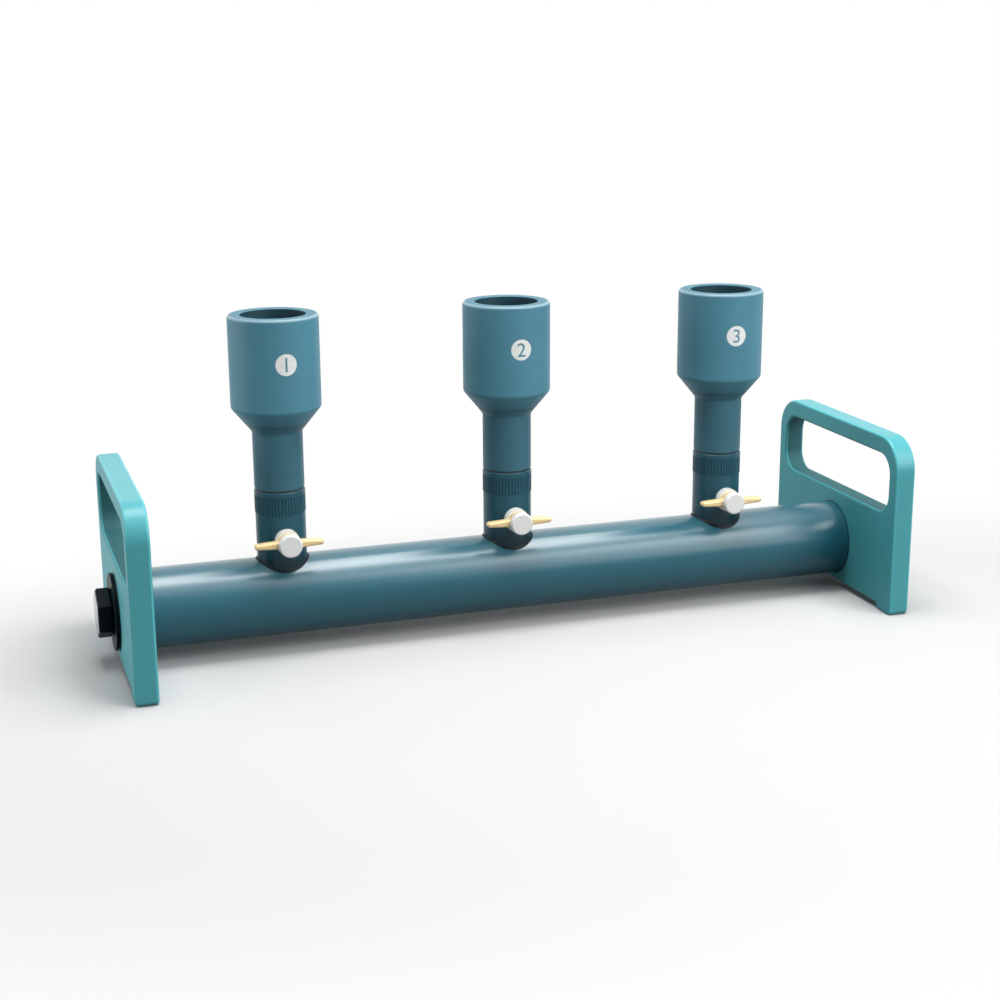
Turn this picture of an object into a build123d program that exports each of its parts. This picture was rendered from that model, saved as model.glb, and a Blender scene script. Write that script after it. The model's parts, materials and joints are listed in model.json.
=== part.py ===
from build123d import *
import math
import os

# Three-place vacuum manifold: a pipe held between two end plates, with valved ports on top that carry
# funnel adapters. Millimetres, +Z up, valve levers towards -Y. The origin lies on the floor, under the
# middle of the whole length from the blanking plug's face to the hose nipple's tip.

# Pipe and ports
plate_span = 506.0
pipe_outer_d = 50.0
pipe_wall = 3.0
pipe_floor_gap = 8.0
port_count = 3
port_pitch = 149.0

# End plates with their handle slots and feet
plate_width = 162.0
plate_thickness = 14.0
plate_corner_r = 22.0
plate_edge_r = 1.8
handle_height = 39.0
handle_corner_r = 13.0
handle_rail = 12.0
handle_stile = 10.0
handle_sill = 9.0
foot_length = 18.0
foot_height = 4.0
foot_corner_r = 3.0
socket_depth = 9.0

# Screwed fittings in the pipe's ends
end_thread_d = 26.4
end_thread_length = 22.0
bush_length = 20.0
gasket_thickness = 0.8
gasket_outer_d = 42.0
flange_d = 48.0
flange_thickness = 2.0
hex_corners = 32.0
hex_height = 9.4
hex_chamfer = 1.2
plug_core_d = 17.0
nipple_bore_d = 6.0
barb_root_d = 9.0
barb_tip_d = 11.6
barb_pitch = 6.0
barb_count = 4

# Valve bodies, with heights measured from the top of the pipe
body_d = 31.0
spindle_rise = 14.3
boss_d = 17.0
boss_stand = 0.3
spigot_d = 20.0
spigot_show = 1.0
passage_d = 8.0

# Ribbed collars with a threaded socket, cemented on stubs of the valve bodies
collar_top_rise = 44.5
collar_wall = 2.5
collar_floor = 2.5
collar_stub_d = 22.0
collar_bevel = 0.9
grip_count = 48
grip_groove_r = 0.55
grip_length = 11.0

# Stopcock spindle, its ring seals and the shaped neck that drives it
spindle_d = 12.0
spindle_disc_d = 15.2
spindle_disc_thickness = 4.8
spindle_hole_d = 6.0
spindle_thread_d = 7.0
spindle_tail = 1.5
neck_square = 6.0
neck_tip_d = 5.0
neck_tip_length = 2.5
ring_section_d = 1.6
ring_section_sides = 8
ring_spacing = 19.0

# Lever, front cap, rear washer and nut
lever_length = 43.0
lever_root = 5.8
lever_end = 3.4
lever_thickness = 5.8
lever_hub_d = 12.4
lever_edge_r = 1.5
cap_d = 14.4
cap_thickness = 4.0
cap_edge_r = 1.3
washer_d = 14.0
washer_thickness = 1.2
nut_flats = 12.0
nut_thickness = 5.0
nut_chamfer = 0.6

# Funnel adapters and the seals that they screw down on
seal_thickness = 1.0
adapter_thread_d = 26.4
adapter_thread_depth = 1.1
adapter_thread_length = 12.0
adapter_chamfer = 1.0
neck_d = 31.0
neck_length = 35.5
neck_bore_d = 19.0
cone_length = 15.0
cup_d = 55.5
cup_length = 57.0
cup_bore_d = 40.0
cup_bore_depth = 50.0
cup_floor_length = 11.0
cup_lead_in = 0.5
cup_rim_r = 1.2
cup_shoulder_r = 3.0

# Clearances
cement_gap = 0.05
thread_gap = 0.1
turning_fit = 0.05
assembly_gap = 0.1
axial_gap = 0.3
end_gap = 1.0

# Heights and lengths along the pipe that follow from the sizes
pipe_axis_z = pipe_floor_gap + pipe_outer_d / 2
pipe_top_z = pipe_axis_z + pipe_outer_d / 2
pipe_inner_r = pipe_outer_d / 2 - pipe_wall
pipe_length = plate_span - 2 * (plate_thickness - socket_depth)
plate_height = pipe_top_z + handle_sill + handle_height + handle_rail
handle_width = plate_width - 2 * handle_stile
plug_reach = gasket_thickness + flange_thickness + hex_height
nipple_reach = plug_reach + barb_count * barb_pitch
middle_x = (plug_reach - nipple_reach) / 2

# Heights above the pipe's top that follow from the sizes
adapter_rise = collar_top_rise + seal_thickness
adapter_spigot_r = adapter_thread_d / 2 - adapter_thread_depth
socket_r = adapter_thread_d / 2 + thread_gap
collar_r = socket_r + collar_wall
socket_floor_rise = adapter_rise - adapter_thread_length - end_gap
collar_rise = socket_floor_rise - collar_floor
spigot_drop = pipe_outer_d / 2 - math.sqrt(pipe_inner_r**2 - (spigot_d / 2) ** 2) + spigot_show
cup_rise = adapter_rise + neck_length + cone_length

# Stations along the spindle, outwards from the middle of the valve body
boss_reach = body_d / 2 + boss_stand
disc_start = boss_reach + axial_gap
lever_start = disc_start + spindle_disc_thickness
cap_start = lever_start + lever_thickness
washer_start = boss_reach + axial_gap
nut_start = washer_start + washer_thickness
spindle_rear = nut_start + nut_thickness + spindle_tail
ring_stations = (-ring_spacing / 2, ring_spacing / 2)
ring_groove_floor_r = spindle_d / 2 - ring_section_d - turning_fit
ring_groove_width = ring_section_d + 2 * assembly_gap


def keep(name, built):
    """Label a finished piece and write it to its own file."""
    built.part.label = name
    export_step(built.part, f"parts/{name}.step")


def end_plane(side):
    """Upright plane on an end plate's outer face, from floor level: side is -1 left, 1 right."""
    face_x = middle_x + side * plate_span / 2
    return Plane((face_x, 0, 0), x_dir=(0, side, 0), z_dir=(side, 0, 0))


def end_axis_plane(side):
    """Upright plane on an end plate's outer face, centred on the pipe's axis."""
    face_x = middle_x + side * plate_span / 2
    return Plane((face_x, 0, pipe_axis_z), x_dir=(0, side, 0), z_dir=(side, 0, 0))


def port_plane(number):
    """Level plane on the top of the pipe at one port."""
    port_x = middle_x + (number - (port_count + 1) / 2) * port_pitch
    return Plane((port_x, 0, pipe_top_z))


def front_plane(number):
    """Upright plane through one port's spindle centre, facing the front."""
    centre = port_plane(number).offset(spindle_rise).origin
    return Plane(centre, x_dir=(1, 0, 0), z_dir=(0, -1, 0))


def section_plane(number):
    """Upright plane through one port's axis, with heights measured from the top of the pipe."""
    return Plane(port_plane(number).origin, x_dir=(1, 0, 0), z_dir=(0, -1, 0))


def make_end_plate(side):
    """Flat plate with rounded top corners, a handle slot, two feet and a blind socket for the pipe."""
    with BuildPart() as end_plate:
        with BuildSketch(end_plane(side)) as outline:
            with Locations((0, plate_height / 2)):
                Rectangle(plate_width, plate_height)
            fillet(outline.vertices().group_by(Axis.Y)[-1], plate_corner_r)
            with Locations((0, foot_height / 2)):
                Rectangle(plate_width - 2 * foot_length, foot_height, mode=Mode.SUBTRACT)
            fillet(outline.vertices().group_by(Axis.Y)[0], foot_corner_r)
            with Locations((0, plate_height - handle_rail - handle_height / 2)):
                RectangleRounded(handle_width, handle_height, handle_corner_r, mode=Mode.SUBTRACT)
        extrude(amount=-plate_thickness)
        fillet(end_plate.faces().filter_by(Axis.X).edges(), plate_edge_r)
        with BuildSketch(end_axis_plane(side).offset(-plate_thickness)):
            Circle(pipe_outer_d / 2 + cement_gap)
        extrude(amount=socket_depth, mode=Mode.SUBTRACT)
        with BuildSketch(end_axis_plane(side)):
            Circle(end_thread_d / 2 + thread_gap)
        extrude(amount=-plate_thickness, mode=Mode.SUBTRACT)
    return end_plate


def make_end_bush(side):
    """Threaded bush cemented inside the pipe, flush with its end."""
    pipe_end = end_axis_plane(side).offset(socket_depth - plate_thickness)
    with BuildPart() as end_bush:
        with BuildSketch(pipe_end):
            Circle(pipe_inner_r - cement_gap)
            Circle(end_thread_d / 2 + thread_gap, mode=Mode.SUBTRACT)
        extrude(amount=-bush_length)
    return end_bush


def make_gasket(side):
    """Flat ring between a fitting's flange and the end plate."""
    with BuildPart() as gasket:
        with BuildSketch(end_axis_plane(side)):
            Circle(gasket_outer_d / 2)
            Circle(end_thread_d / 2 + thread_gap, mode=Mode.SUBTRACT)
        extrude(amount=gasket_thickness)
    return gasket


def make_screwed_head(side):
    """Hexagon, flange and threaded shank that the blanking plug and the hose nipple share."""
    flange_back = end_axis_plane(side).offset(gasket_thickness)
    hex_back = flange_back.offset(flange_thickness)
    with BuildPart() as screwed_head:
        with BuildSketch(hex_back):
            RegularPolygon(hex_corners / 2, 6, rotation=90)
        extrude(amount=hex_height)
        chamfer(screwed_head.faces().filter_by(Axis.X).edges(), hex_chamfer)
        with BuildSketch(flange_back):
            Circle(flange_d / 2)
        extrude(amount=flange_thickness)
        with BuildSketch(flange_back):
            Circle(end_thread_d / 2)
        extrude(amount=-end_thread_length)
    return screwed_head


def make_valve_body(number):
    """Round body with a stub for its collar, cross-bored for the spindle and cemented on the pipe."""
    port = port_plane(number)
    front = front_plane(number)
    with BuildPart() as valve_body:
        with BuildSketch(port.offset(-pipe_outer_d / 2)):
            Circle(body_d / 2)
        extrude(amount=pipe_outer_d / 2 + collar_rise)
        with BuildSketch(port.offset(collar_rise)):
            Circle(collar_stub_d / 2)
        extrude(amount=collar_floor)
        with BuildSketch(front):
            Circle(boss_d / 2)
        extrude(amount=boss_reach, both=True)

        # Saddle underneath, and the spigot that locates it in the pipe's hole
        with BuildSketch(Plane((port.origin.X, 0, pipe_axis_z), x_dir=(0, 1, 0), z_dir=(1, 0, 0))):
            Circle(pipe_outer_d / 2 + cement_gap)
        extrude(amount=body_d, both=True, mode=Mode.SUBTRACT)
        with BuildSketch(port.offset(-spigot_drop)):
            Circle(spigot_d / 2 - cement_gap)
        extrude(amount=spigot_drop + spindle_rise)

        # Passage down to the pipe, and the spindle's cross bore
        with BuildSketch(port.offset(-spigot_drop)):
            Circle(passage_d / 2)
        extrude(amount=spigot_drop + socket_floor_rise, mode=Mode.SUBTRACT)
        with BuildSketch(front):
            Circle(spindle_d / 2 + turning_fit)
        extrude(amount=boss_reach, both=True, mode=Mode.SUBTRACT)
    return valve_body


def make_grip_collar(number):
    """Ribbed collar with the threaded socket for an adapter, cemented on the valve body's stub."""
    port = port_plane(number)
    with BuildPart() as grip_collar:
        with BuildSketch(port.offset(collar_rise)):
            Circle(collar_r)
        extrude(amount=collar_top_rise - collar_rise)
        chamfer(grip_collar.faces().sort_by(Axis.Z)[-1].edges(), collar_bevel)
        with BuildSketch(port.offset(collar_rise)):
            with PolarLocations(collar_r, grip_count):
                Circle(grip_groove_r)
        extrude(amount=grip_length, mode=Mode.SUBTRACT)
        with BuildSketch(port.offset(collar_rise)):
            Circle(collar_stub_d / 2 + cement_gap)
        extrude(amount=collar_floor, mode=Mode.SUBTRACT)
        with BuildSketch(port.offset(socket_floor_rise)):
            Circle(socket_r)
        extrude(amount=collar_top_rise - socket_floor_rise, mode=Mode.SUBTRACT)
    return grip_collar


def make_spindle(number):
    """Stopcock spindle: drilled plug, front disc, square neck with a round tip, and a threaded rear end."""
    front = front_plane(number)
    with BuildPart() as spindle:
        with BuildSketch(front.offset(-boss_reach)):
            Circle(spindle_d / 2)
        extrude(amount=boss_reach + disc_start)
        with BuildSketch(front.offset(disc_start)):
            Circle(spindle_disc_d / 2)
        extrude(amount=spindle_disc_thickness)
        with BuildSketch(front.offset(lever_start)):
            Rectangle(neck_square, neck_square)
        extrude(amount=lever_thickness)
        with BuildSketch(front.offset(cap_start)):
            Circle(neck_tip_d / 2)
        extrude(amount=neck_tip_length)
        with BuildSketch(front.offset(-spindle_rear)):
            Circle(spindle_thread_d / 2)
        extrude(amount=spindle_rear)
        for station in ring_stations:
            with BuildSketch(front.offset(station - ring_groove_width / 2)):
                Circle(spindle_disc_d / 2)
                Circle(ring_groove_floor_r, mode=Mode.SUBTRACT)
            extrude(amount=ring_groove_width, mode=Mode.SUBTRACT)
        with BuildSketch(Plane(front.origin, x_dir=(0, 1, 0), z_dir=(1, 0, 0))):
            Circle(spindle_hole_d / 2)
        extrude(amount=spindle_d / 2, both=True, mode=Mode.SUBTRACT)
    return spindle


def make_spindle_rings(number):
    """Pair of ring seals that lie in the spindle's grooves."""
    front = front_plane(number)
    along = Plane(front.origin, x_dir=(0, -1, 0), z_dir=(-1, 0, 0))
    with BuildPart() as spindle_rings:
        with BuildSketch(along):
            with Locations(*[(station, spindle_d / 2 - ring_section_d / 2) for station in ring_stations]):
                RegularPolygon(ring_section_d / 2, ring_section_sides)
        revolve(axis=Axis(front.origin, (0, -1, 0)))
    return spindle_rings


def make_lever(number):
    """Flat bar with tapered ends and a round hub, pushed on the spindle's square neck."""
    with BuildPart() as lever:
        with BuildSketch(front_plane(number).offset(lever_start)):
            Circle(lever_root / 2)
            with Locations((lever_end / 2 - lever_length / 2, 0), (lever_length / 2 - lever_end / 2, 0)):
                Circle(lever_end / 2)
            make_hull()
            Circle(lever_hub_d / 2)
        extrude(amount=lever_thickness)
        fillet(lever.faces().filter_by(Axis.Y).edges(), lever_edge_r)
        with BuildSketch(front_plane(number).offset(lever_start)):
            Rectangle(neck_square + 2 * assembly_gap, neck_square + 2 * assembly_gap)
        extrude(amount=lever_thickness, mode=Mode.SUBTRACT)
    return lever


def make_spindle_cap(number):
    """Round cap with a softened rim, snapped on the tip of the spindle's neck."""
    with BuildPart() as spindle_cap:
        with BuildSketch(front_plane(number).offset(cap_start)):
            Circle(cap_d / 2)
        extrude(amount=cap_thickness)
        fillet(spindle_cap.faces().sort_by(Axis.Y)[0].edges(), cap_edge_r)
        with BuildSketch(front_plane(number).offset(cap_start)):
            Circle(neck_tip_d / 2 + assembly_gap)
        extrude(amount=neck_tip_length + assembly_gap, mode=Mode.SUBTRACT)
    return spindle_cap


def make_spindle_washer(number):
    """Washer between the rear boss and the nut."""
    with BuildPart() as spindle_washer:
        with BuildSketch(front_plane(number).offset(-washer_start)):
            Circle(washer_d / 2)
            Circle(spindle_thread_d / 2 + assembly_gap, mode=Mode.SUBTRACT)
        extrude(amount=-washer_thickness)
    return spindle_washer


def make_spindle_nut(number):
    """Hexagon nut that holds the spindle in its bore from behind."""
    with BuildPart() as spindle_nut:
        with BuildSketch(front_plane(number).offset(-nut_start)):
            RegularPolygon(nut_flats / 2, 6, major_radius=False)
        extrude(amount=-nut_thickness)
        chamfer(spindle_nut.faces().filter_by(Axis.Y).edges(), nut_chamfer)
        with BuildSketch(front_plane(number).offset(-nut_start)):
            Circle(spindle_thread_d / 2 + assembly_gap)
        extrude(amount=-nut_thickness, mode=Mode.SUBTRACT)
    return spindle_nut


def make_adapter_seal(number):
    """Flat ring that seals a funnel adapter on its valve body."""
    with BuildPart() as adapter_seal:
        with BuildSketch(port_plane(number).offset(collar_top_rise)):
            Circle(collar_r - collar_bevel)
            Circle(socket_r, mode=Mode.SUBTRACT)
        extrude(amount=seal_thickness)
    return adapter_seal


def make_funnel_adapter(number):
    """Turned cup on a cone and neck, with a straight stopper bore and a threaded spigot below."""
    cup_top = cup_rise + cup_length
    bore_floor = cup_top - cup_bore_depth
    spigot_end = adapter_rise - adapter_thread_length
    with BuildPart() as funnel_adapter:
        with BuildSketch(section_plane(number)) as cup_section:
            with BuildLine():
                Polyline(
                    (neck_bore_d / 2, spigot_end),
                    (adapter_spigot_r - adapter_chamfer, spigot_end),
                    (adapter_spigot_r, spigot_end + adapter_chamfer),
                    (adapter_spigot_r, adapter_rise),
                    (neck_d / 2, adapter_rise),
                    (neck_d / 2, adapter_rise + neck_length),
                    (cup_d / 2, cup_rise),
                    (cup_d / 2, cup_top),
                    (cup_bore_d / 2 + cup_lead_in, cup_top),
                    (cup_bore_d / 2, cup_top - cup_lead_in),
                    (cup_bore_d / 2, bore_floor),
                    (neck_bore_d / 2, bore_floor - cup_floor_length),
                    close=True,
                )
            make_face()
            fillet(cup_section.vertices().group_by(Axis.X)[-1].sort_by(Axis.Y)[-1], cup_rim_r)
            fillet(cup_section.vertices().group_by(Axis.X)[-1].sort_by(Axis.Y)[0], cup_shoulder_r)
        revolve(axis=Axis(port_plane(number).origin, (0, 0, 1)))
    return funnel_adapter


os.makedirs("parts", exist_ok=True)

# Pipe with a hole under each port
with BuildPart() as manifold_tube:
    with BuildSketch(Plane((middle_x, 0, pipe_axis_z), x_dir=(0, 1, 0), z_dir=(1, 0, 0))):
        Circle(pipe_outer_d / 2)
        Circle(pipe_inner_r, mode=Mode.SUBTRACT)
    extrude(amount=pipe_length / 2, both=True)
    for number in range(1, port_count + 1):
        with BuildSketch(port_plane(number)):
            Circle(spigot_d / 2)
        extrude(amount=-pipe_outer_d / 2, mode=Mode.SUBTRACT)
keep("manifold_tube", manifold_tube)

# Blanking plug at the left end, cored from inside as a moulding is
with BuildPart() as blanking_plug:
    add(make_screwed_head(-1))
    with BuildSketch(end_axis_plane(-1).offset(gasket_thickness - end_thread_length)):
        Circle(plug_core_d / 2)
    extrude(amount=end_thread_length, mode=Mode.SUBTRACT)
keep("blanking_plug", blanking_plug)

# Vacuum hose nipple at the right end
barb_start = end_axis_plane(1).offset(plug_reach).origin
with BuildPart() as hose_nipple:
    add(make_screwed_head(1))
    with BuildSketch(Plane(barb_start, x_dir=(1, 0, 0), z_dir=(0, -1, 0))):
        with BuildLine():
            barb_outline = [(0, 0)]
            for barb in range(barb_count):
                barb_outline.append((barb * barb_pitch, barb_tip_d / 2))
                barb_outline.append(((barb + 1) * barb_pitch, barb_root_d / 2))
            Polyline(*barb_outline, (barb_count * barb_pitch, 0), close=True)
        make_face()
    revolve(axis=Axis(barb_start, (1, 0, 0)))
    with BuildSketch(end_axis_plane(1).offset(nipple_reach)):
        Circle(nipple_bore_d / 2)
    extrude(amount=-(nipple_reach + end_thread_length), mode=Mode.SUBTRACT)
keep("hose_nipple", hose_nipple)

# Pieces that both ends have
for side_name, side in (("left", -1), ("right", 1)):
    keep(f"{side_name}_end_plate", make_end_plate(side))
    keep(f"{side_name}_end_bush", make_end_bush(side))
keep("blanking_plug_gasket", make_gasket(-1))
keep("hose_nipple_gasket", make_gasket(1))

# Pieces that every port has
for number in range(1, port_count + 1):
    keep(f"valve_body_{number}", make_valve_body(number))
    keep(f"grip_collar_{number}", make_grip_collar(number))
    keep(f"valve_spindle_{number}", make_spindle(number))
    keep(f"spindle_rings_{number}", make_spindle_rings(number))
    keep(f"valve_lever_{number}", make_lever(number))
    keep(f"spindle_cap_{number}", make_spindle_cap(number))
    keep(f"spindle_washer_{number}", make_spindle_washer(number))
    keep(f"spindle_nut_{number}", make_spindle_nut(number))
    keep(f"adapter_seal_{number}", make_adapter_seal(number))
    keep(f"funnel_adapter_{number}", make_funnel_adapter(number))
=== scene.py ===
import json
import math

import bmesh
import bpy
from bpy.props import FloatProperty, FloatVectorProperty, PointerProperty
from mathutils import Matrix, Vector


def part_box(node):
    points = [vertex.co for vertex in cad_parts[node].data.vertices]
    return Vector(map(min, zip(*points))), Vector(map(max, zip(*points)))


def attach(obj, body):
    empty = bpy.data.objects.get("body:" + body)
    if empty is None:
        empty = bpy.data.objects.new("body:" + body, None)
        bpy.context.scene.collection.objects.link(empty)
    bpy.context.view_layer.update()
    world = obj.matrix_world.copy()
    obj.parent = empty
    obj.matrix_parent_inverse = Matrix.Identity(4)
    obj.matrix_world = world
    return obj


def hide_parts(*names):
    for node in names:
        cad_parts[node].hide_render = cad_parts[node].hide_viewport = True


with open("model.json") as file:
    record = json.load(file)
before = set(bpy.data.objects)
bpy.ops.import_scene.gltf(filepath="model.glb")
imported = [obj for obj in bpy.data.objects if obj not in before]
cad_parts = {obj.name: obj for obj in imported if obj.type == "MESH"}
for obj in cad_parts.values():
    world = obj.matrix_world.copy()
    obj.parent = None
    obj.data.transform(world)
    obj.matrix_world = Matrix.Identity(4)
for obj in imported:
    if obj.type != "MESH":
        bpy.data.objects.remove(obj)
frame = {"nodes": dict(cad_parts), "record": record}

bl_info = {
    "name": "Vacuum manifold",
    "version": (1, 0, 0),
    "blender": (4, 5, 0),
    "location": "View3D > Sidebar > Manifold",
    "description": "Dresses a three-place vacuum manifold: pipe, end plates, stopcocks and funnel adapters",
    "category": "Object",
}

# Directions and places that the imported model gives
UP = Vector((0, 0, 1))
ALONG = Vector((1, 0, 0))
FRONT = Vector((0, -1, 0))
MM = 0.001
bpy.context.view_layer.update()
PORTS = range(1, 1 + sum(name.startswith("valve_body_") for name in frame["nodes"]))
PIPE_LOW, PIPE_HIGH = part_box("manifold_tube")
PIPE_RADIUS = (PIPE_HIGH.z - PIPE_LOW.z) / 2
PIPE_MIDDLE = (PIPE_LOW + PIPE_HIGH) / 2
MOUNTS = {mount["name"]: mount for mount in frame["record"]["mounts"]}

# The handle slots are this much larger than the openings that the model states
SLOT_MARGIN = Vector((0, 5 * MM, 5 * MM))

# The pipe's polish comes in between these shares of its radius over its middle
CROWN_START = 0.35
CROWN_END = 0.75

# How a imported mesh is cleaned, and how finely round pieces are made
MERGE_DISTANCE = 1e-6
SAME_PLACE = 1e-5
FLAT_ANGLE = math.radians(0.4)
SHARP_ANGLE = math.radians(32)
TURN_STEPS = 128
THREAD_STEPS = 40
DISC_SIDES = 64
PRINT_CUTS = 24

# Outlines of the cement beads in shares of a bead's width: out from the round wall, and up from the face
SADDLE_BEAD = ((-0.3, -0.3), (-0.3, 0.8), (0.12, 0.72), (0.5, 0.38), (1.0, 0.04), (1.0, -0.3))
PIPE_SEAM = ((-0.3, -0.3), (1.0, -0.3), (0.95, 0.12), (0.45, 0.42), (0.1, 0.9), (-0.3, 0.95))

# A thread's half width at its root and at its crest, and its distance from the ends, in shares of its pitch
THREAD_ROOT = 0.42
THREAD_CREST = 0.12
THREAD_INSET = 0.6

# The two edges of a lead-in are rounded by this share of its width
LEAD_IN_ROUND = 0.35

# How far the printed disc and the number over it stand out of a cup, and how many degrees round its axis each
# adapter stopped when it was screwed tight
DISC_FILM = 0.04 * MM
NUMBER_FILM = 0.08 * MM
MARK_TURNS = (3.6, 1.2, -2.8)

# The camera's place, and its yaw, pitch and roll in degrees
CAMERA_PLACE = (-0.35807, -1.02629, 0.37122)
CAMERA_ANGLES = (-18.39, 15.01, -0.34)
SENSOR_WIDTH = 36

# Each lamp's place, and its width and depth. A lamp that looks down more steeply than STEEP has its width
# along the pipe.
LAMPS = {
    "key": ((0.06, 0.0, 1.25), (1.05, 0.6)),
    "top": ((0.1, -0.62, 1.2), (1.3, 0.6)),
    "fill": ((0.74, -1.05, 0.85), (0.95, 1.1)),
    "side": ((-1.0, 0.2, 0.25), (0.8, 0.6)),
}
LAMP_TARGET = Vector((-0.03, 0, 0.08))
STEEP = 0.8

# The floor's size and grey, and the oval on it beyond which it turns plain white
FLOOR_REACH = 12.0
FLOOR_GREY = (0.58, 0.58, 0.58, 1.0)
WHITE = (1.0, 1.0, 1.0, 1.0)
OVAL_STRETCH = (0.6, 1.0, 1.0)
OVAL_CENTRE = (0.0, -0.12, 0.0)
OVAL_START = 0.2
OVAL_END = 0.4


def srgb(red, green, blue):
    """A screen colour, 0 to 255, as the linear colour that a shader takes."""
    linear = []
    for level in (red, green, blue):
        share = level / 255
        linear.append(share / 12.92 if share <= 0.04045 else ((share + 0.055) / 1.055) ** 2.4)
    return (*linear, 1.0)


def length_property(name, description, millimetres):
    """A size that the sidebar shows in the scene's length unit."""
    return FloatProperty(name=name, description=description, default=millimetres * MM, min=0.0,
                         subtype="DISTANCE", unit="LENGTH", precision=5)


def colour_property(name, description, colour):
    """A colour that the sidebar shows as a swatch."""
    return FloatVectorProperty(name=name, description=description, default=colour, size=4,
                               min=0.0, max=1.0, subtype="COLOR")


def power_property(name, description, watts):
    """A lamp's power."""
    return FloatProperty(name=name, description=description, default=watts, min=0.0, unit="POWER")


def share_property(name, description, share):
    """A level from 0 to 1 that the sidebar shows as a slider."""
    return FloatProperty(name=name, description=description, default=share, min=0.0, max=1.0,
                         subtype="FACTOR")


class ManifoldSizes(bpy.types.PropertyGroup):
    """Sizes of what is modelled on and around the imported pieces."""

    neck_radius: length_property("Neck radius", "Outer radius of an adapter's neck", 15.5)
    neck_bore: length_property("Neck bore radius", "Radius of the bore through an adapter's neck", 9.5)
    spigot_radius: length_property("Spigot radius", "Root radius of an adapter's thread", 12.1)
    neck_length: length_property("Neck length", "Length of an adapter's plain neck", 35.5)
    cone_length: length_property("Cone length", "Height of the cone under an adapter's cup", 15.0)
    throat_length: length_property("Throat length", "Height of the tapered floor in an adapter's cup", 11.0)
    lead_in: length_property("Lead-in", "Width of the chamfer in a cup's mouth", 0.5)
    rim_round: length_property("Rim round", "Radius of a cup's outer rim", 1.9)
    shoulder_round: length_property("Shoulder round", "Set-back of the round between cup and cone", 1.1)
    edge_break: length_property("Edge break", "Width of the broken edges of turned pieces", 0.35)
    washer_edge: length_property("Washer edge", "Width of a washer's broken edges", 0.15)
    nut_edge: length_property("Nut edge", "Width of a nut's broken edges", 0.2)
    thread_pitch: length_property("Thread pitch", "Rise of an adapter's thread in one turn", 3.0)
    thread_depth: length_property("Thread depth", "Height of an adapter's thread over its root", 0.95)
    bead_width: length_property("Cement bead", "Width of the cement bead under a valve body", 1.3)
    seam_width: length_property("Pipe seam", "Width of the cement seam round each end of the pipe", 0.6)
    mark_radius: length_property("Mark radius", "Radius of the printed disc on a cup", 6.6)
    mark_drop: length_property("Mark drop", "Distance of the mark's centre below a cup's rim", 27.0)
    numeral_height: length_property("Numeral height", "Height of the printed station number", 8.6)


class ManifoldColours(bpy.types.PropertyGroup):
    """Colours of the manifold's materials."""

    pipe: colour_property("Pipe", "Extruded pipe", srgb(31, 94, 110))
    plate: colour_property("End plates", "Machined sheet", srgb(74, 162, 170))
    cup: colour_property("Funnel adapters", "Turned plastic of the adapters", srgb(79, 136, 155))
    # painted highlight: pale colour of the line painted round each cup's rim
    rim: colour_property("Rim line", "Highlighted round of a cup's rim", srgb(178, 190, 196))
    valve: colour_property("Valve bodies", "Turned plastic of the valve bodies", srgb(35, 83, 98))
    knob: colour_property("Spindles", "White low-friction plastic", srgb(240, 241, 239))
    lever: colour_property("Levers", "Tan-yellow moulding", srgb(242, 214, 156))
    fitting: colour_property("Fittings", "Near-black moulding of the plug and the nipple", srgb(6, 24, 30))
    rubber: colour_property("Seals", "Black rubber", srgb(16, 20, 23))
    mark: colour_property("Marks", "White print on the cups", srgb(240, 243, 242))


class ManifoldStage(bpy.types.PropertyGroup):
    """Camera, lamps and floor."""

    key_power: power_property("Key", "Power of the wide lamp overhead", 17.0)
    top_power: power_property("Top", "Power of the lamp overhead in front", 3.2)
    fill_power: power_property("Fill", "Power of the lamp at the front right", 15.5)
    side_power: power_property("Side", "Power of the low lamp at the left end", 4.0)
    sky: share_property("Sky", "Strength of the even light from all sides", 0.14)
    floor_bounce: share_property("Floor bounce", "Light that the floor throws back on the manifold", 0.16)
    lens: FloatProperty(name="Lens", description="Focal length of the camera", default=62.09, min=1.0,
                        unit="CAMERA")


def sizes():
    return bpy.context.scene.manifold_sizes


def colours():
    return bpy.context.scene.manifold_colours


# Shader nodes


class Wire:
    """One output of a node, which can stand in plain arithmetic."""

    def __init__(self, nodes, socket):
        self.nodes = nodes
        self.socket = socket

    def __add__(self, other):
        return self.nodes.math("ADD", self, other)

    def __radd__(self, other):
        return self.nodes.math("ADD", other, self)

    def __sub__(self, other):
        return self.nodes.math("SUBTRACT", self, other)

    def __rsub__(self, other):
        return self.nodes.math("SUBTRACT", other, self)

    def __mul__(self, other):
        return self.nodes.math("MULTIPLY", self, other)

    def __rmul__(self, other):
        return self.nodes.math("MULTIPLY", other, self)

    def __abs__(self):
        return self.nodes.math("ABSOLUTE", self)

    def step(self, low, high):
        """0 below low, 1 above high, and a soft step between them."""
        return self.nodes.node("ShaderNodeMapRange", {"interpolation_type": "SMOOTHSTEP"},
                               {"Value": self, "From Min": low, "From Max": high})


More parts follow.
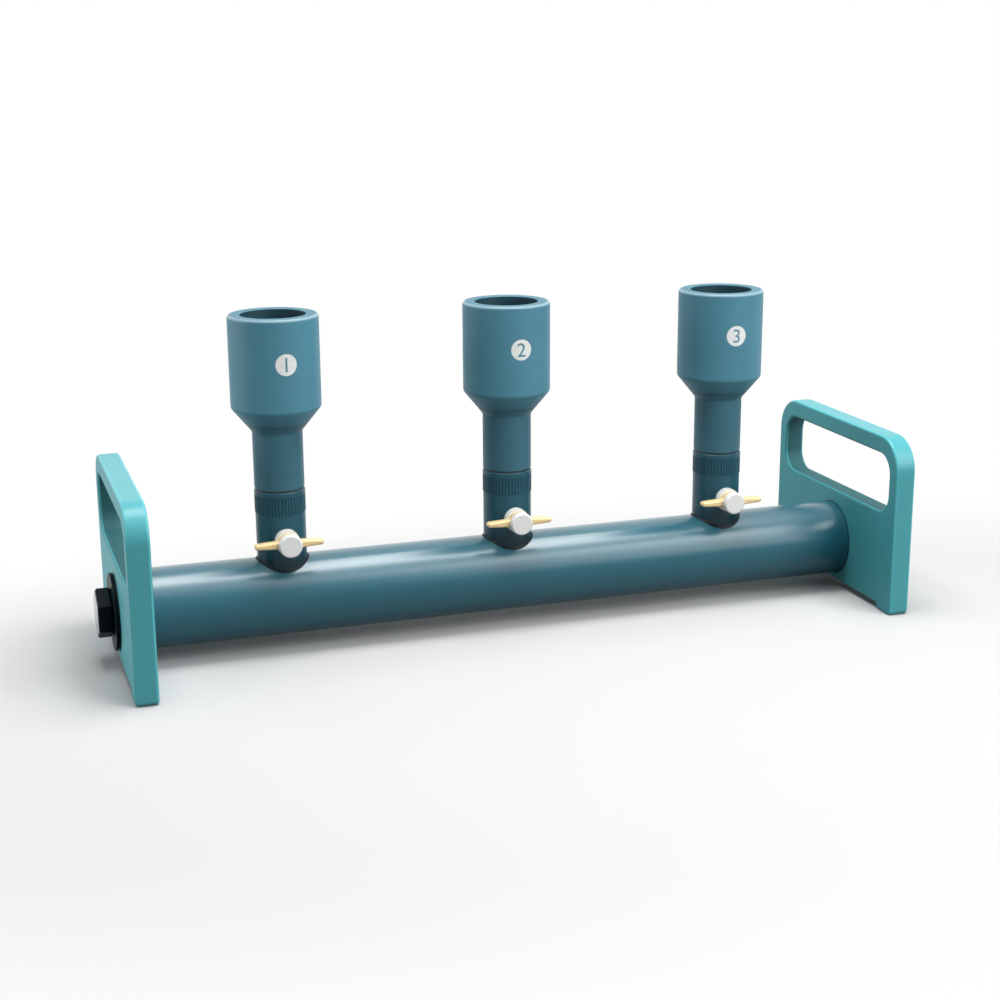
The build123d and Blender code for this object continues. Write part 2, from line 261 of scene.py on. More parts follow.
class Nodes:
    """A node tree being wired."""

    def __init__(self, tree):
        self.tree = tree

    def node(self, kind, settings, sockets, output=0):
        """Add a node: its settings first, and then the values or wires of its sockets."""
        made = self.tree.nodes.new(kind)
        for setting, value in settings.items():
            setattr(made, setting, value)
        for socket, value in sockets.items():
            self.feed(made.inputs[socket], value)
        return Wire(self, made.outputs[output])

    def feed(self, socket, value):
        if isinstance(value, Wire):
            self.tree.links.new(value.socket, socket)
        else:
            socket.default_value = value

    def math(self, operation, *values):
        return self.node("ShaderNodeMath", {"operation": operation}, dict(enumerate(values)))

    def place(self, stretch=(1, 1, 1), centre=(0, 0, 0)):
        """The piece's own coordinates, measured from a centre and stretched."""
        moved = [-stretch[axis] * centre[axis] for axis in range(3)]
        here = self.node("ShaderNodeTexCoord", {}, {}, output="Object")
        return self.node("ShaderNodeMapping", {}, {"Vector": here, "Location": moved, "Scale": stretch})

    def reach(self, stretch, centre):
        """Distance from a centre, in stretched coordinates."""
        return self.node("ShaderNodeVectorMath", {"operation": "LENGTH"},
                         {0: self.place(stretch, centre)}, output="Value")

    def lit_or_seen(self, lit, seen):
        """One shader for the light that is thrown back, and another for what is seen, also in a mirror."""
        camera, glossy, clear = (
            self.node("ShaderNodeLightPath", {}, {}, output=ray)
            for ray in ("Is Camera Ray", "Is Glossy Ray", "Is Transmission Ray")
        )
        share = self.math("MAXIMUM", self.math("MAXIMUM", camera, glossy), clear)
        return self.node("ShaderNodeMixShader", {}, {0: share, 1: lit, 2: seen})


class Finish(Nodes):
    """A material being mixed: its shader, and the nodes that vary it over the surface."""

    def __init__(self, name, specular=0.5, coat=0.0, coat_roughness=0.12):
        self.material = bpy.data.materials.new(name)
        self.material.use_nodes = True
        super().__init__(self.material.node_tree)
        self.shader = self.tree.nodes["Principled BSDF"]
        self.paint("Specular IOR Level", specular)
        self.paint("Coat Weight", coat)
        self.paint("Coat Roughness", coat_roughness)

    def paint(self, socket, value):
        """Set or drive one of the shader's own sockets."""
        self.feed(self.shader.inputs[socket], value)

    def mix(self, share, first, second):
        """A colour between two others."""
        return self.node("ShaderNodeMix", {"data_type": "RGBA"}, {0: share, 6: first, 7: second}, output=2)

    def noise(self, scale, stretch=(1, 1, 1), detail=3.0):
        return self.node("ShaderNodeTexNoise", {}, {"Vector": self.place(stretch), "Scale": scale,
                                                    "Detail": detail, "Roughness": 0.55})

    def along(self, axis):
        """One of the piece's own coordinates, by its letter."""
        here = self.node("ShaderNodeTexCoord", {}, {}, output="Object")
        return self.node("ShaderNodeSeparateXYZ", {}, {"Vector": here}, output=axis)

    def within(self, axis, low, high, soft=1.5 * MM):
        """1 between two places on an axis, fading out just beyond them."""
        place = self.along(axis)
        return place.step(low - soft, low) * (1 - place.step(high, high + soft))

    def radius(self, centre):
        """Distance from an upright axis through a centre."""
        return self.reach((1, 1, 0), centre)

    def rings(self, scale, centre):
        """Fine concentric tool rings round an upright axis, on walls and faces alike."""
        return self.node("ShaderNodeTexNoise", {"noise_dimensions": "1D"},
                         {"W": self.radius(centre) + (self.along("Z") - centre.z), "Scale": scale,
                          "Detail": 2.0, "Roughness": 0.6})

    def bump(self, *layers):
        """Relief from layers of (height, depth)."""
        normal = None
        for height, depth in layers:
            sockets = {"Height": height, "Distance": depth, "Strength": 1.0}
            if normal is not None:
                sockets["Normal"] = normal
            normal = self.node("ShaderNodeBump", {}, sockets)
        self.paint("Normal", normal)


def shade(colour, share):
    """The same colour, darker or lighter."""
    return (*(min(1.0, level * share) for level in colour[:3]), 1.0)


# Finishes


def pipe_finish(colour):
    """Extruded pipe: long drawing streaks, a faint cloud, a soft gloss, and a polished crown."""
    finish = Finish("extruded_pipe", specular=0.4, coat_roughness=0.27)
    streak = finish.noise(1.0, stretch=(2.5, 420, 420), detail=4.0)
    cloud = finish.noise(26.0, detail=2.0)
    grain = finish.noise(2400.0, detail=2.0)
    scuff = finish.noise(1.0, stretch=(60, 900, 900), detail=1.0).step(0.72, 0.8)
    tone = (streak - 0.5) * 0.7 + (cloud - 0.5) * 0.6 + 0.5
    crown_low, crown_high = (PIPE_MIDDLE.z + PIPE_RADIUS * share for share in (CROWN_START, CROWN_END))
    finish.paint("Base Color", finish.mix(tone, shade(colour, 0.8), shade(colour, 1.2)))
    finish.paint("Roughness", 0.24 + streak * 0.06 + cloud * 0.05 + scuff * 0.05)
    finish.paint("Coat Weight", finish.along("Z").step(crown_low, crown_high))
    finish.bump((streak, 0.008 * MM), (grain, 0.006 * MM))
    return finish.material


def plate_finish(name, colour, slot):
    """Machined sheet: satin faces with faint rubs, milled edges, painted shade on the walls in the slot, and
    a painted highlight on the rounded corners."""
    finish = Finish(name, specular=0.35)
    normal = finish.node("ShaderNodeTexCoord", {}, {}, output="Normal")
    facing = abs(finish.node("ShaderNodeVectorMath", {"operation": "DOT_PRODUCT"},
                             {0: normal, 1: ALONG}, output="Value"))
    face = facing.step(0.9, 0.99)
    corner = facing.step(0.02, 0.3) * (1 - facing.step(0.7, 0.98))
    cloud = finish.noise(18.0)
    milled = finish.noise(1.0, stretch=(2600, 30, 30), detail=2.0)
    rubbed = finish.noise(1.0, stretch=(30, 900, 120), detail=2.0).step(0.6, 0.75)
    orange_peel = finish.noise(420.0, detail=2.0)
    tone = 0.5 + (cloud - 0.5) * 0.8 + (milled - 0.5) * (1 - face) * 0.3
    body = finish.mix(tone, shade(colour, 0.86), shade(colour, 1.12))
    # painted shade: the walls inside the handle slot are painted dark
    wall = (1 - face) * finish.within("Y", slot[0].y, slot[1].y) * finish.within("Z", slot[0].z, slot[1].z)
    body = finish.mix(wall * 0.8, body, shade(colour, 0.2))
    # painted highlight: the rounded corners are painted lighter
    finish.paint("Base Color", finish.mix(corner * 0.5, body, shade(colour, 1.6)))
    finish.paint("Roughness", 0.28 + face * 0.2 + cloud * 0.06 + rubbed * face * 0.06 + wall * 0.3)
    finish.bump((milled * (1 - face), 0.012 * MM), (orange_peel, 0.012 * MM))
    return finish.material


def turned_finish(name, colour, centre, roughness, dimming, rim=None):
    """Turned plastic: fine tool rings round its axis over a faint cloud, with painted shade where it is
    given, and a painted highlight, also a little glossier, between the rim's two (radius, height) corners."""
    finish = Finish(name, specular=0.25)
    rings = finish.rings(1500.0, centre)
    bands = finish.rings(260.0, centre)
    cloud = finish.noise(38.0)
    grain = finish.noise(2600.0, detail=1.0)
    tone = 0.5 + (cloud - 0.5) * 0.7 + (rings - 0.5) * 0.35 + (bands - 0.5) * 0.25
    body = finish.mix(tone, shade(colour, 0.82), shade(colour, 1.18))
    # painted shade: the colour is mixed towards a dark shade of itself by the given share
    body = finish.mix(dimming(finish), body, shade(colour, 0.12))
    dull = roughness - 0.06 + rings * 0.1 + cloud * 0.04
    if rim is not None:
        (low_radius, low), (high_radius, high) = rim
        # painted highlight: a pale line painted round the rim's outer round
        rim_highlight = finish.radius(centre).step(low_radius, high_radius) * finish.along("Z").step(low, high)
        body = finish.mix(rim_highlight * 0.4, body, colours().rim)
        dull = dull - rim_highlight * 0.2
    finish.paint("Base Color", body)
    finish.paint("Roughness", dull)
    finish.bump((rings, 0.007 * MM), (grain, 0.004 * MM))
    return finish.material


def moulded_finish(name, colour, roughness, mottle=0.1, coat=0.0, specular=0.5, gloss_and_painted_sheen=None):
    """Moulded plastic or rubber: a faint cloud, a fine eggshell grain and a few light scuffs, with a coated
    glossy end, painted lighter as a painted reflection, where two places along X are given."""
    finish = Finish(name, specular=specular, coat=coat)
    cloud = finish.noise(60.0)
    grain = finish.noise(1900.0, detail=2.0)
    scuff = finish.noise(1.0, stretch=(700, 160, 240), detail=2.0).step(0.64, 0.76)
    tone = 0.5 + (cloud - 0.5) * 0.9 + (grain - 0.5) * 0.2
    body = finish.mix(tone, shade(colour, 1 - mottle), shade(colour, 1 + mottle))
    if gloss_and_painted_sheen is not None:
        end = finish.within("X", *gloss_and_painted_sheen, soft=0.5 * MM)
        # painted reflection: the end face is painted four times lighter, under a real coat
        body = finish.mix(end, body, shade(colour, 4.0))
        finish.paint("Coat Weight", end)
    finish.paint("Base Color", body)
    finish.paint("Roughness", roughness - 0.05 + cloud * 0.06 + scuff * 0.12)
    finish.bump((grain, 0.01 * MM))
    return finish.material


def cement_finish(name, colour, low, high):
    """Solvent cement: a little lumpy and dull, between two shades of the plastic that it dissolved."""
    finish = Finish(name, specular=0.15)
    lumps = finish.noise(420.0, detail=2.0)
    finish.paint("Base Color", finish.mix(lumps, shade(colour, low), shade(colour, high)))
    finish.paint("Roughness", 0.38 + lumps * 0.15)
    finish.bump((lumps, 0.06 * MM))
    return finish.material


def print_finish(name, colour):
    """Screen print: a flat ink film with a fine mesh grain."""
    finish = Finish(name)
    mesh_grain = finish.noise(3200.0, detail=1.0)
    thin = finish.noise(700.0, detail=2.0).step(0.3, 0.7)
    finish.paint("Base Color", finish.mix(thin, shade(colour, 0.9), colour))
    finish.paint("Roughness", 0.42 + mesh_grain * 0.16)
    finish.bump((mesh_grain, 0.006 * MM))
    return finish.material


# Shapes


def middle(node):
    """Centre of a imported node's box."""
    low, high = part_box(node)
    return (low + high) / 2


def carried(node, edge_break=0.0):
    """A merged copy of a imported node's mesh, with its sharp edges broken where a width is given."""
    shape = bmesh.new()
    shape.from_mesh(frame["nodes"][node].data)
    bmesh.ops.remove_doubles(shape, verts=shape.verts, dist=MERGE_DISTANCE)
    bmesh.ops.dissolve_limit(shape, angle_limit=FLAT_ANGLE, use_dissolve_boundaries=False,
                             verts=shape.verts, edges=shape.edges)
    if edge_break:
        soften(shape, [edge for edge in shape.edges if is_sharp(edge)], edge_break, segments=2)
    return shape


def is_sharp(edge):
    return edge.is_manifold and edge.calc_face_angle() > SHARP_ANGLE


def soften(shape, edges, width, segments):
    """Round some edges."""
    bmesh.ops.bevel(shape, geom=edges, affect="EDGES", offset=width, offset_type="OFFSET",
                    segments=segments, profile=0.5, material=-1, clamp_overlap=True)


def turned(profile, centre, axis=UP):
    """Spin an outline of (radius, height) points round an axis."""
    shape = bmesh.new()
    across = axis.orthogonal().normalized()
    points = [shape.verts.new(centre + across * radius + axis * height) for radius, height in profile]
    outline = [shape.edges.new(pair) for pair in zip(points, points[1:] + points[:1])]
    bmesh.ops.spin(shape, geom=points + outline, cent=centre, axis=axis, angle=math.tau,
                   steps=TURN_STEPS, use_merge=True)
    bmesh.ops.remove_doubles(shape, verts=shape.verts, dist=MERGE_DISTANCE)
    bmesh.ops.recalc_face_normals(shape, faces=shape.faces)
    return shape


def ring_edges(shape, centre, radius, height):
    """The round edge of an upright turned shape at one radius and height."""
    def on_ring(vert):
        offset = vert.co - centre
        return abs(offset.z - height) < SAME_PLACE and abs(offset.xy.length - radius) < SAME_PLACE

    return [edge for edge in shape.edges if all(on_ring(vert) for vert in edge.verts)]


def helix(centre, root, crest, start, length, pitch):
    """Ridge of a screw thread round an upright axis, from one height along a length."""
    shape = bmesh.new()
    across = UP.orthogonal().normalized()
    section = ((root, -THREAD_ROOT), (crest, -THREAD_CREST), (crest, THREAD_CREST), (root, THREAD_ROOT))
    corners = [shape.verts.new(centre + across * radius + UP * (start + share * pitch))
               for radius, share in section]
    ridge = shape.faces.new(corners)
    turns = length / pitch
    bmesh.ops.spin(shape, geom=[ridge, *ridge.edges, *ridge.verts], cent=centre, axis=UP,
                   dvec=UP * (pitch / THREAD_STEPS), angle=math.tau * turns,
                   steps=round(turns * THREAD_STEPS))
    bmesh.ops.remove_doubles(shape, verts=shape.verts, dist=MERGE_DISTANCE)
    bmesh.ops.recalc_face_normals(shape, faces=shape.faces)
    return shape


def saddle_loop(shape, centre, radius, lift):
    """A loop of a round post, laid on the pipe and lifted off it."""
    rim = bmesh.ops.create_circle(shape, cap_ends=False, radius=radius, segments=TURN_STEPS)["verts"]
    for vert in rim:
        height = math.sqrt(PIPE_RADIUS ** 2 - vert.co.y ** 2)
        vert.co += Vector((centre.x, 0, PIPE_MIDDLE.z + height + lift))
    return list({edge for vert in rim for edge in vert.link_edges})


def saddle_bead(centre, post_radius, width):
    """Bead of cement in the corner between a round post and the pipe."""
    shape = bmesh.new()
    loops = [saddle_loop(shape, centre, post_radius + width * out, width * up) for out, up in SADDLE_BEAD]
    for first, second in zip(loops, loops[1:] + loops[:1]):
        bmesh.ops.bridge_loops(shape, edges=first + second)
    bmesh.ops.recalc_face_normals(shape, faces=shape.faces)
    return shape


def wrapped(shape, centre, radius, film, turn):
    """Bend a flat print, drawn in X and Y, round an upright cylinder's front, with its film in and out of
    the wall."""
    low = min(vert.co.x for vert in shape.verts)
    high = max(vert.co.x for vert in shape.verts)
    for cut in range(1, PRINT_CUTS):
        at = low + (high - low) * cut / PRINT_CUTS
        bmesh.ops.bisect_plane(shape, geom=[*shape.verts, *shape.edges, *shape.faces],
                               plane_co=(at, 0, 0), plane_no=ALONG)
    flat = bmesh.ops.extrude_face_region(shape, geom=list(shape.faces))
    raised = {element for element in flat["geom"] if isinstance(element, bmesh.types.BMVert)}
    for vert in shape.verts:
        angle = vert.co.x / radius + turn
        reach = radius + (film if vert in raised else -film)
        vert.co = centre + Vector((math.sin(angle) * reach, -math.cos(angle) * reach, vert.co.y))
    bmesh.ops.recalc_face_normals(shape, faces=shape.faces)
    return shape


def flat_numeral(text, height):
    """A number as a flat mesh round the origin, drawn in X and Y."""
    curve = bpy.data.curves.new("numeral", "FONT")
    curve.body = text
    curve.align_x = "CENTER"
    curve.size = height
    drawn = bpy.data.objects.new("numeral", curve)
    bpy.context.scene.collection.objects.link(drawn)
    bpy.context.view_layer.update()
    mesh = bpy.data.meshes.new_from_object(drawn.evaluated_get(bpy.context.evaluated_depsgraph_get()))
    bpy.data.objects.remove(drawn)
    bpy.data.curves.remove(curve)
    shape = bmesh.new()
    shape.from_mesh(mesh)
    bpy.data.meshes.remove(mesh)
    bmesh.ops.remove_doubles(shape, verts=shape.verts, dist=MERGE_DISTANCE)
    tops = [vert.co.y for vert in shape.verts]
    sides = [vert.co.x for vert in shape.verts]
    grow = height / (max(tops) - min(tops))
    shift = Vector((-(max(sides) + min(sides)) / 2, -(max(tops) + min(tops)) / 2, 0))
    bmesh.ops.translate(shape, vec=shift, verts=shape.verts)
    bmesh.ops.scale(shape, vec=(grow, grow, 1), verts=shape.verts)
    return shape


# Pieces


def add_piece(name, shape, body, material, stands_for=()):
    """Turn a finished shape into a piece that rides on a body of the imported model."""
    for face in shape.faces:
        face.smooth = True
    for edge in shape.edges:
        edge.smooth = not is_sharp(edge)
    mesh = bpy.data.meshes.new(name)
    shape.to_mesh(mesh)
    shape.free()
    mesh.materials.append(material)
    piece = bpy.data.objects.new(name, mesh)
    bpy.context.scene.collection.objects.link(piece)
    even = piece.modifiers.new("even_shading", "WEIGHTED_NORMAL")
    even.keep_sharp = True
    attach(piece, body)
    if stands_for:
        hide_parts(*stands_for)
    return piece


def dress(node, material):
    """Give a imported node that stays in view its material."""
    mesh = frame["nodes"][node].data
    mesh.materials.clear()
    mesh.materials.append(material)


class MANIFOLD_OT_pipe(bpy.types.Operator):
    """Add the pipe and the cement round its ends"""

    bl_idname = "manifold.pipe"
    bl_label = "Pipe"

    def execute(self, context):
        plastic = pipe_finish(colours().pipe)
        add_piece("pipe", carried("manifold_tube"), "root", plastic, ["manifold_tube"])
        cement = cement_finish("pipe_cement", colours().pipe, 0.15, 0.4)
        width = sizes().seam_width
        profile = [(PIPE_RADIUS + width * out, width * up) for out, up in PIPE_SEAM]
        for side, turn in (("left", 1), ("right", -1)):
            low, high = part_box(f"{side}_end_plate")
            face = high.x if turn > 0 else low.x
            bead = turned(profile, Vector((face, 0, PIPE_MIDDLE.z)), ALONG * turn)
            add_piece(f"{side}_pipe_cement", bead, "root", cement)
        return {"FINISHED"}


class MANIFOLD_OT_end_plates(bpy.types.Operator):
    """Add the two end plates with their handles and feet"""

    bl_idname = "manifold.end_plates"
    bl_label = "End plates"

    def execute(self, context):
        openings = {opening["name"]: opening for opening in frame["record"]["physics"]["openings"]}
        for side in ("left", "right"):
            node = f"{side}_end_plate"
            low, high = (Vector(corner) for corner in openings[f"{side}_handle_slot"]["box_m"])
            slot = (low - SLOT_MARGIN, high + SLOT_MARGIN)
            sheet = plate_finish(f"{side}_sheet", colours().plate, slot)
            add_piece(f"{side}_plate", carried(node), "root", sheet, [node])
        return {"FINISHED"}


class MANIFOLD_OT_end_fittings(bpy.types.Operator):
    """Add the blanking plug, the hose nipple, their gaskets and the bushes"""

    bl_idname = "manifold.end_fittings"
    bl_label = "End fittings"

    def execute(self, context):
        plug_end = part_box("blanking_plug")[0].x
        # the plug's end face gets a real coat and a painted reflection
        black = moulded_finish("black_moulding", colours().fitting, roughness=0.4, mottle=0.25, specular=0.05,
                               gloss_and_painted_sheen=(plug_end - 1 * MM, plug_end + 0.05 * MM))
        rubber = moulded_finish("gasket_rubber", colours().rubber, roughness=0.6, mottle=0.2)
        bush = moulded_finish("bush_moulding", colours().valve, roughness=0.42)
        for node, name in (("blanking_plug", "plug"), ("hose_nipple", "nipple")):
            add_piece(name, carried(node, sizes().edge_break), "root", black, [node])
            dress(f"{node}_gasket", rubber)
        for side in ("left", "right"):
            dress(f"{side}_end_bush", bush)
        return {"FINISHED"}


class MANIFOLD_OT_valve_bodies(bpy.types.Operator):
    """Add the valve bodies with their ribbed collars and the cement under them"""

    bl_idname = "manifold.valve_bodies"
    bl_label = "Valve bodies"

    def execute(self, context):
        cement = cement_finish("valve_cement", colours().valve, 0.04, 0.16)
        edge = sizes().edge_break
        for number in PORTS:
            node = f"valve_body_{number}"
            collar = f"grip_collar_{number}"
            low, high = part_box(node)
            centre = middle(collar)
            plastic = turned_finish(f"valve_plastic_{number}", colours().valve, centre, 0.33,
                                    self.foot_dimming)
            add_piece(f"valve_post_{number}", carried(node, edge), "root", plastic, [node])
            add_piece(f"ribbed_collar_{number}", carried(collar, edge / 2), "root", plastic,
                      [collar])
            bead = saddle_bead(centre, (high.x - low.x) / 2, sizes().bead_width)
            add_piece(f"valve_cement_{number}", bead, "root", cement)
        return {"FINISHED"}

    @staticmethod
    def foot_dimming(finish):
        """Painted shade: a valve body is painted darker towards its foot on the pipe."""
        shade_low = PIPE_HIGH.z - 5 * MM
        shade_high = PIPE_HIGH.z + 12 * MM
        return 0.9 * (1 - finish.along("Z").step(shade_low, shade_high))


class MANIFOLD_OT_stopcocks(bpy.types.Operator):
    """Add the spindles, levers, caps, washers and nuts"""

    bl_idname = "manifold.stopcocks"
    bl_label = "Stopcocks"

    def execute(self, context):
        yellow = moulded_finish("lever_moulding", colours().lever, roughness=0.3, mottle=0.08, coat=0.2)
        white = moulded_finish("white_plastic", colours().knob, roughness=0.36, mottle=0.03)
        rubber = moulded_finish("ring_rubber", colours().rubber, roughness=0.55, mottle=0.2)
        size = sizes()
        for number in PORTS:
            body = f"valve_{number}"
            for node, name, edge, slot, plastic in (
                (f"valve_spindle_{number}", "spindle", size.edge_break, "spindle", white),
                (f"spindle_cap_{number}", "lever_cap", 0.0, "spindle", white),
                (f"spindle_washer_{number}", "washer", size.washer_edge, "spindle", white),
                (f"spindle_nut_{number}", "nut", size.nut_edge, "spindle", white),
                (f"valve_lever_{number}", "lever", 0.0, "lever", yellow),
            ):
                add_piece(f"{name}_{number}", carried(node, edge), body, plastic, [node])
            dress(f"spindle_rings_{number}", rubber)
        return {"FINISHED"}


class AdapterPlace:
    """One funnel adapter's axis, heights and radii."""

    def __init__(self, number):
        low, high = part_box(f"funnel_adapter_{number}")
        bore = MOUNTS[f"stopper_seat_{number}"]
        self.number = number
        self.body = f"adapter_{number}"
        self.centre = Vector(((low.x + high.x) / 2, (low.y + high.y) / 2, 0))
        self.cup_radius = high.x - self.centre.x
        self.bore_radius = bore["dims"]["r_mm"] * MM
        self.foot = low.z
        self.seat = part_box(f"adapter_seal_{number}")[1].z
        self.neck_top = self.seat + sizes().neck_length
        self.shoulder = self.neck_top + sizes().cone_length
        self.bore_floor = bore["pos_m"][2] - bore["dims"]["length_mm"] * MM / 2
        self.top = high.z

    def dimming(self, finish):
        """Painted shade: the neck under the cup and the top face of the rim are a little darker than the cup,
        and the bore darker still.
        """
        neck = 1 - finish.along("Z").step(self.neck_top, self.shoulder)
        bore = 1 - finish.radius(self.centre).step(self.bore_radius, self.bore_radius + 0.3 * MM)
        rim = finish.along("Z").step(self.top - 0.3 * MM, self.top - 0.05 * MM)
        return neck * 0.45 + bore * 0.85 * (1 - neck) + rim * (1 - bore) * 0.4

    def rim_corners(self):
        """Where the outer rim's round starts and where its side is half round, as (radius, height)."""
        start = sizes().rim_round
        half = start / 2
        return (self.cup_radius - start, self.top - start), (self.cup_radius - half, self.top - half)


class MANIFOLD_OT_adapters(bpy.types.Operator):
    """Add the funnel adapters with their threads, seals and station numbers"""

    bl_idname = "manifold.adapters"
    bl_label = "Funnel adapters"

    def execute(self, context):
        rubber = moulded_finish("seal_rubber", colours().rubber, roughness=0.6, mottle=0.2)
        ink = print_finish("white_print", colours().mark)
        bare = print_finish("numeral_print", colours().cup)
        for number in PORTS:
            place = AdapterPlace(number)
            plastic = turned_finish(f"adapter_plastic_{number}", colours().cup, place.centre, 0.44,
                                    place.dimming, place.rim_corners())
            add_piece(f"adapter_{number}", self.adapter(place), place.body, plastic,
                      [f"funnel_adapter_{number}"])
            add_piece(f"adapter_thread_{number}", self.thread(place), place.body, plastic)
            add_piece(f"station_disc_{number}", self.disc(place), place.body, ink)
            add_piece(f"station_number_{number}", self.numeral(place), place.body, bare)
            dress(f"adapter_seal_{number}", rubber)
        return {"FINISHED"}

    def adapter(self, place):
        """Cup, cone, neck and spigot in one turned piece."""
        size = sizes()
        mouth_radius = place.bore_radius + size.lead_in
        mouth_low = place.top - size.lead_in
        mouth_round = size.lead_in * LEAD_IN_ROUND
        profile = [
            (size.neck_bore, place.foot),
            (size.spigot_radius, place.foot),
            (size.spigot_radius, place.seat),
            (size.neck_radius, place.seat),
            (size.neck_radius, place.neck_top),
            (place.cup_radius, place.shoulder),
            (place.cup_radius, place.top),
            (mouth_radius, place.top),
            (place.bore_radius, mouth_low),
            (place.bore_radius, place.bore_floor),
            (size.neck_bore, place.bore_floor - size.throat_length),
        ]
        shape = turned(profile, place.centre)
        for radius, height, width, segments in (
            (place.cup_radius, place.top, size.rim_round, 5),
            (place.cup_radius, place.shoulder, size.shoulder_round, 4),
            (size.neck_radius, place.neck_top, size.shoulder_round, 4),
            (mouth_radius, place.top, mouth_round, 2),
            (place.bore_radius, mouth_low, mouth_round, 2),
            (size.neck_radius, place.seat, size.edge_break, 2),
            (size.spigot_radius, place.foot, size.edge_break * 2, 2),
            (size.neck_bore, place.foot, size.edge_break, 2),
        ):
            soften(shape, ring_edges(shape, place.centre, radius, height), width, segments)
        return shape

    def thread(self, place):
        """Screw thread on the spigot, hidden until the adapter is unscrewed."""
        size = sizes()
        sunk = size.spigot_radius - size.edge_break
        crest = size.spigot_radius + size.thread_depth
        inset = size.thread_pitch * THREAD_INSET
        run = place.seat - place.foot - inset * 2
        return helix(place.centre, sunk, crest, place.foot + inset, run, size.thread_pitch)

    def disc(self, place):
        """White disc printed on the cup's front."""
        shape = bmesh.new()
        bmesh.ops.create_circle(shape, cap_ends=True, radius=sizes().mark_radius, segments=DISC_SIDES)
        return self.printed(shape, place, DISC_FILM)

    def numeral(self, place):
        """The station's number over its disc."""
        return self.printed(flat_numeral(str(place.number), sizes().numeral_height), place, NUMBER_FILM)

    def printed(self, shape, place, film):
        """Lay a flat print on the cup, where the screwed-up adapter has turned its front."""
        mark = place.centre + UP * (place.top - sizes().mark_drop)
        return wrapped(shape, mark, place.cup_radius, film, math.radians(MARK_TURNS[place.number - 1]))


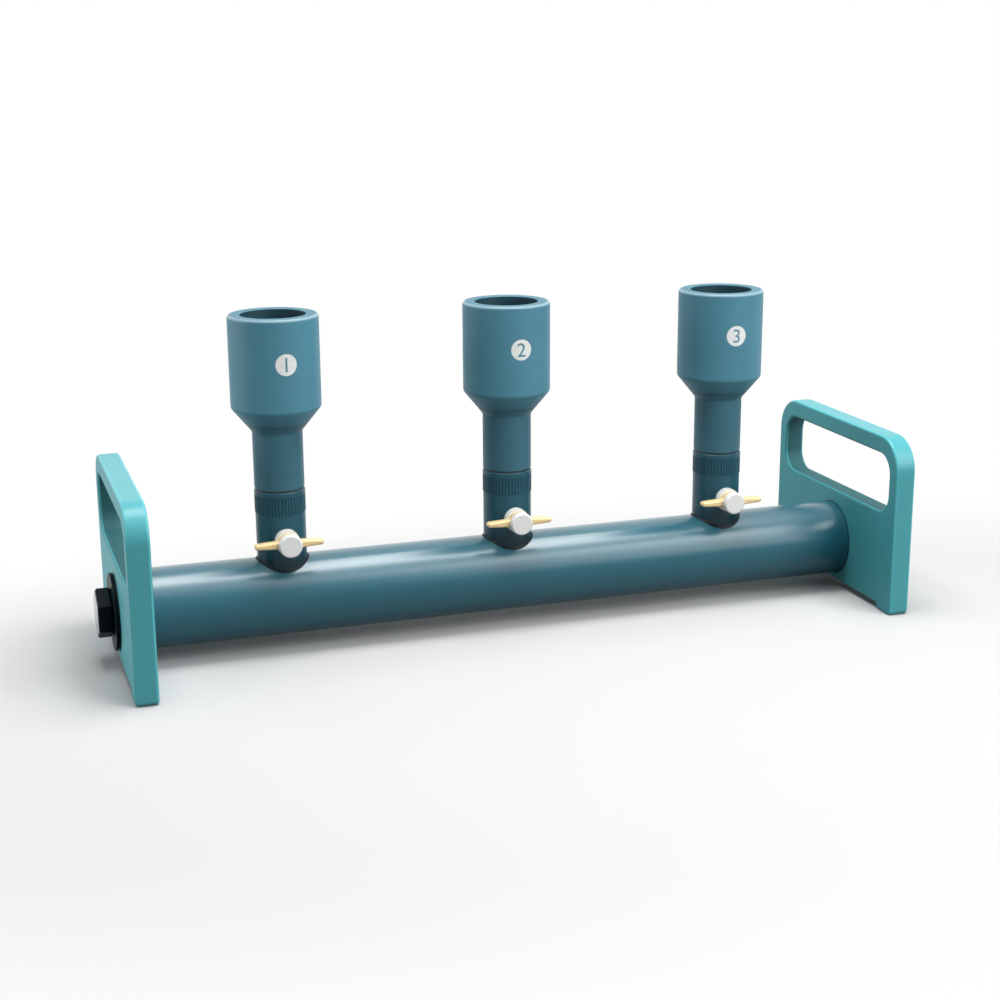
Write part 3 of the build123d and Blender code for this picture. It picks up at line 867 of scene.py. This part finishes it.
class MANIFOLD_OT_stage(bpy.types.Operator):
    """Add the camera, the lamps, the white floor and the white background"""

    bl_idname = "manifold.stage"
    bl_label = "Stage"

    def execute(self, context):
        context.scene.view_settings.view_transform = "Standard"
        self.add_camera(context)
        self.add_lamps(context)
        self.add_floor(context)
        self.light_background(context)
        return {"FINISHED"}

    def add_camera(self, context):
        """Camera at the photograph's viewpoint, turned left and down onto the manifold."""
        yaw, pitch, roll = (math.radians(angle) for angle in CAMERA_ANGLES)
        lens = bpy.data.cameras.new("photo_camera")
        lens.lens = context.scene.manifold_stage.lens
        lens.sensor_width = SENSOR_WIDTH
        camera = bpy.data.objects.new("photo_camera", lens)
        turn = (Matrix.Rotation(yaw, 4, "Z") @ Matrix.Rotation(math.pi / 2 - pitch, 4, "X")
                @ Matrix.Rotation(roll, 4, "Z"))
        camera.matrix_world = Matrix.Translation(CAMERA_PLACE) @ turn
        context.scene.collection.objects.link(camera)
        context.scene.camera = camera

    def add_lamps(self, context):
        """Soft rectangular lamps that all look at the manifold."""
        for name, (place, size) in LAMPS.items():
            light = bpy.data.lights.new(f"{name}_lamp", "AREA")
            light.shape = "RECTANGLE"
            light.size, light.size_y = size
            light.energy = getattr(context.scene.manifold_stage, f"{name}_power")
            lamp = bpy.data.objects.new(f"{name}_lamp", light)
            back = (Vector(place) - LAMP_TARGET).normalized()
            across = (FRONT.cross(-back) if back.z > STEEP else UP.cross(back)).normalized()
            turn = Matrix((across, back.cross(across), back)).transposed().to_4x4()
            lamp.matrix_world = Matrix.Translation(place) @ turn
            context.scene.collection.objects.link(lamp)

    def add_floor(self, context):
        """Wide pale floor that keeps the shadow near the manifold and is plain white far from it, and that
        throws back little light."""
        shape = bmesh.new()
        bmesh.ops.create_grid(shape, x_segments=1, y_segments=1, size=FLOOR_REACH)
        mesh = bpy.data.meshes.new("floor")
        shape.to_mesh(mesh)
        shape.free()
        floor = bpy.data.objects.new("floor", mesh)
        context.scene.collection.objects.link(floor)
        paper = Finish("white_floor", specular=0.1)
        paper.paint("Base Color", FLOOR_GREY)
        paper.paint("Roughness", 0.75)
        far = paper.reach(OVAL_STRETCH, OVAL_CENTRE).step(OVAL_START, OVAL_END)
        shadowed = Wire(paper, paper.shader.outputs[0])
        white = paper.node("ShaderNodeEmission", {}, {"Color": WHITE, "Strength": 1.0})
        seen = paper.node("ShaderNodeMixShader", {}, {0: far, 1: shadowed, 2: white})
        level = context.scene.manifold_stage.floor_bounce
        bounce = paper.node("ShaderNodeBsdfDiffuse", {}, {"Color": (level, level, level, 1.0)})
        paper.feed(paper.tree.nodes["Material Output"].inputs["Surface"], paper.lit_or_seen(bounce, seen))
        mesh.materials.append(paper.material)

    def light_background(self, context):
        """White where it is seen or mirrored, and a plain soft level as light."""
        world = bpy.data.worlds.new("white_room")
        world.use_nodes = True
        nodes = Nodes(world.node_tree)
        backdrop = nodes.tree.nodes["Background"]
        nodes.feed(backdrop.inputs["Color"], WHITE)
        nodes.feed(backdrop.inputs["Strength"], 1.0)
        soft = nodes.node("ShaderNodeBackground", {},
                          {"Color": WHITE, "Strength": context.scene.manifold_stage.sky})
        white = Wire(nodes, backdrop.outputs[0])
        nodes.feed(nodes.tree.nodes["World Output"].inputs["Surface"], nodes.lit_or_seen(soft, white))
        context.scene.world = world


STEPS = (
    MANIFOLD_OT_pipe,
    MANIFOLD_OT_end_plates,
    MANIFOLD_OT_end_fittings,
    MANIFOLD_OT_valve_bodies,
    MANIFOLD_OT_stopcocks,
    MANIFOLD_OT_adapters,
    MANIFOLD_OT_stage,
)


class MANIFOLD_PT_panel(bpy.types.Panel):
    """The manifold's sizes, colours and steps"""

    bl_idname = "MANIFOLD_PT_panel"
    bl_label = "Vacuum manifold"
    bl_space_type = "VIEW_3D"
    bl_region_type = "UI"
    bl_category = "Manifold"

    def draw(self, context):
        for name in GROUPS:
            group = getattr(context.scene, name)
            column = self.layout.column(align=True)
            for setting in group.__annotations__:
                column.prop(group, setting)
        for step in STEPS:
            self.layout.operator(step.bl_idname)


GROUPS = {
    "manifold_sizes": ManifoldSizes,
    "manifold_colours": ManifoldColours,
    "manifold_stage": ManifoldStage,
}


def register():
    for name, group in GROUPS.items():
        bpy.utils.register_class(group)
        setattr(bpy.types.Scene, name, PointerProperty(type=group))
    for step in STEPS:
        bpy.utils.register_class(step)
    bpy.utils.register_class(MANIFOLD_PT_panel)


def unregister():
    bpy.utils.unregister_class(MANIFOLD_PT_panel)
    for step in reversed(STEPS):
        bpy.utils.unregister_class(step)
    for name, group in GROUPS.items():
        delattr(bpy.types.Scene, name)
        bpy.utils.unregister_class(group)


def main():
    register()
    for step in STEPS:
        family, action = step.bl_idname.split(".")
        getattr(getattr(bpy.ops, family), action)()


if __name__ == "__main__":
    main()
